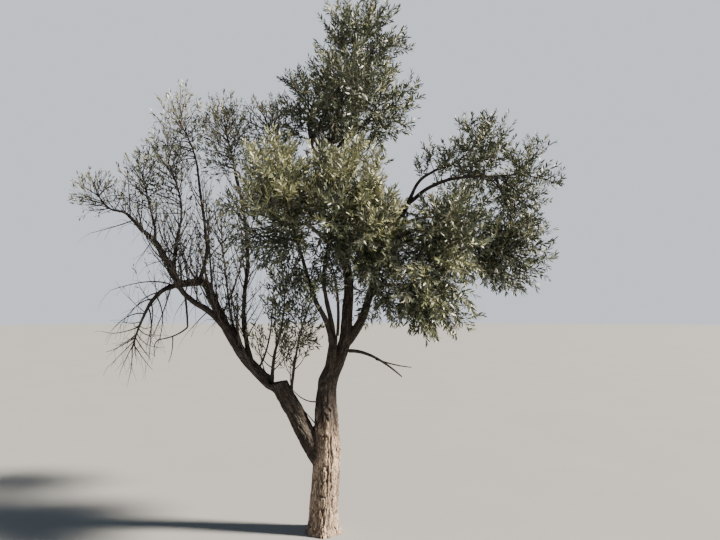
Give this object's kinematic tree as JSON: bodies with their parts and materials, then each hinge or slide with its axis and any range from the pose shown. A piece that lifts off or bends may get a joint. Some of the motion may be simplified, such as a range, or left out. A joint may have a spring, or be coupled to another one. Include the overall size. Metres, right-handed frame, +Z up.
{
  "type": "olive tree",
  "caption": "Small old olive tree: leaning fluted trunk, sawn log, half-bare left boughs, a tall leader and arching right boughs with masses of narrow grey-green leaves.",
  "frame": {"origin": "centre of the flat cut under the trunk, at ground level", "axes": "+Z up along the trunk; +X to the right and -Y towards the viewer, as the picture sees the tree"},
  "size_m": [3.7778, 2.0138, 4.2122],
  "materials": {
    "bark": "rough fissured bark",
    "young_bark": "matt young bark",
    "leaves": "satin leaves",
    "dry_twigs": "dry bare twigs"
  },
  "bodies": {
    "root": {"back_high": "young_bark", "back_high_crown": "leaves", "back_left": "young_bark", "back_left_crown": "leaves", "back_outer": "young_bark", "back_outer_crown": "leaves", "back_right": "young_bark", "back_right_crown": "leaves", "far_left_crown": "leaves", "front_crown": "leaves", "front_left": "young_bark", "front_mid": "young_bark", "front_stem": "bark", "high_left": "young_bark", "high_left_crown": "leaves", "inner_left": "young_bark", "inner_shoot": "young_bark", "inner_shoots": "leaves", "leader": "bark", "leader_front": "young_bark", "leader_left": "young_bark", "leader_right": "young_bark", "left_arm": "bark", "left_bough": "bark", "left_droop": "young_bark", "left_droop_twigs": "dry_twigs", "left_high_crown": "leaves", "left_inner_crown": "leaves", "left_log": "bark", "left_reach": "young_bark", "left_shoots_a": "leaves", "left_shoots_b": "leaves", "left_shoots_c": "leaves", "left_under": "young_bark", "log_shoot": "young_bark", "log_shoots": "leaves", "mid_left_crown": "leaves", "mid_right": "young_bark", "mid_right_crown": "leaves", "right_bough": "bark", "right_low": "young_bark", "right_low_crown": "leaves", "right_mid": "young_bark", "right_mid_crown": "leaves", "right_outer": "young_bark", "right_outer_crown": "leaves", "right_tail": "young_bark", "right_tail_crown": "leaves", "right_upper": "young_bark", "right_upper_crown": "leaves", "shoot_a": "young_bark", "shoot_c": "young_bark", "stem_m": "young_bark", "top_crown": "leaves", "top_front_crown": "leaves", "top_left_crown": "leaves", "top_right_crown": "leaves", "trunk": "bark"}
  },
  "joints": []
}
